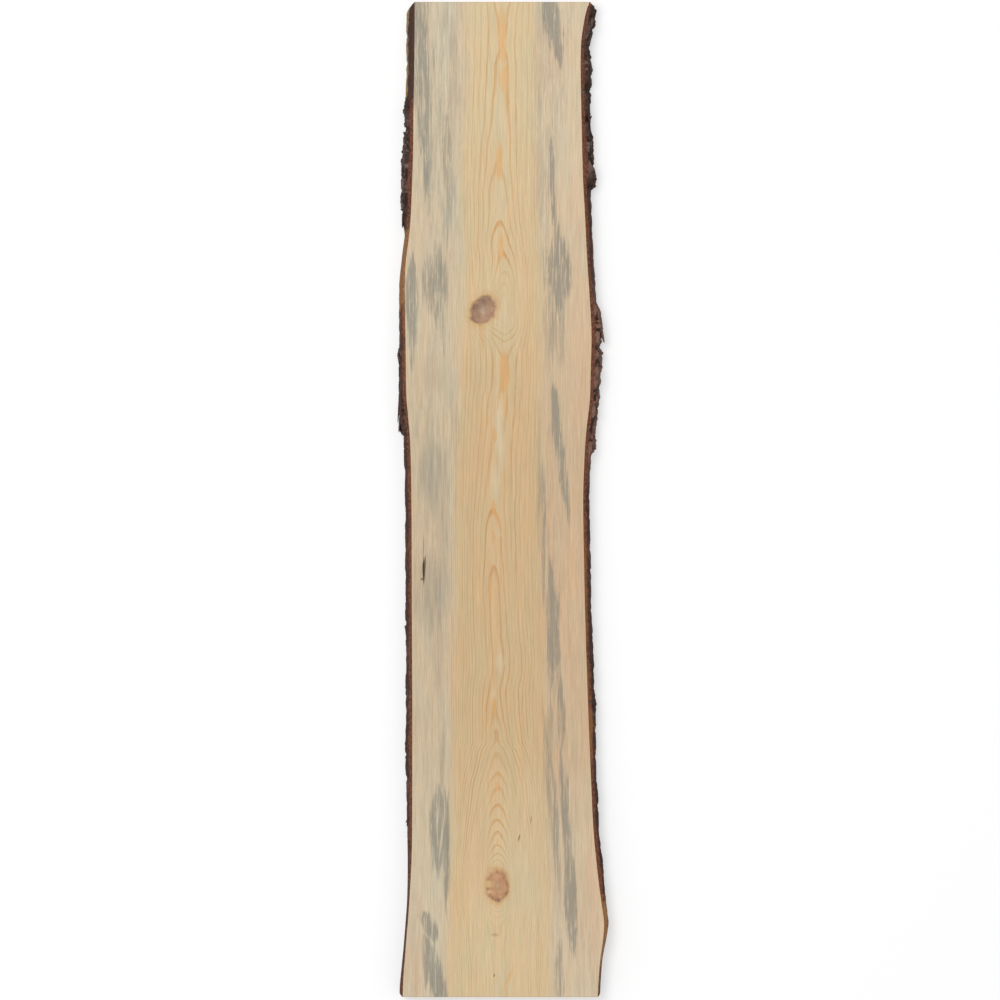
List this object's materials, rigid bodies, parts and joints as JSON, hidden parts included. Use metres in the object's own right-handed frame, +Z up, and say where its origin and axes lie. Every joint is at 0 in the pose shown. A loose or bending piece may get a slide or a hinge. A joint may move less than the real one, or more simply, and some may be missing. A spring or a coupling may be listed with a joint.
{
  "type": "live-edge timber plank",
  "caption": "Flat-sawn pine plank with wavy natural edges that keep their bark, sawn flat faces and square ends; raw stock for shelves, benches and cladding.",
  "frame": {"origin": "in the sawn underside, on the pith line, halfway between the two cross-cut ends", "axes": "+X across the plank, +Y along it from the butt end to the top end, +Z up through the thickness to the upper face"},
  "size_m": [0.2555, 1.2, 0.025],
  "materials": {
    "pine": "planed pale pine, yellow heartwood band, blue-grey stain in the sapwood, brown knots",
    "bark": "rough red-brown and grey-brown pine bark, smooth ochre bast where plates are missing"
  },
  "bodies": {
    "root": {"board": "pine", "bark_left": "bark", "bark_right": "bark"}
  },
  "joints": []
}
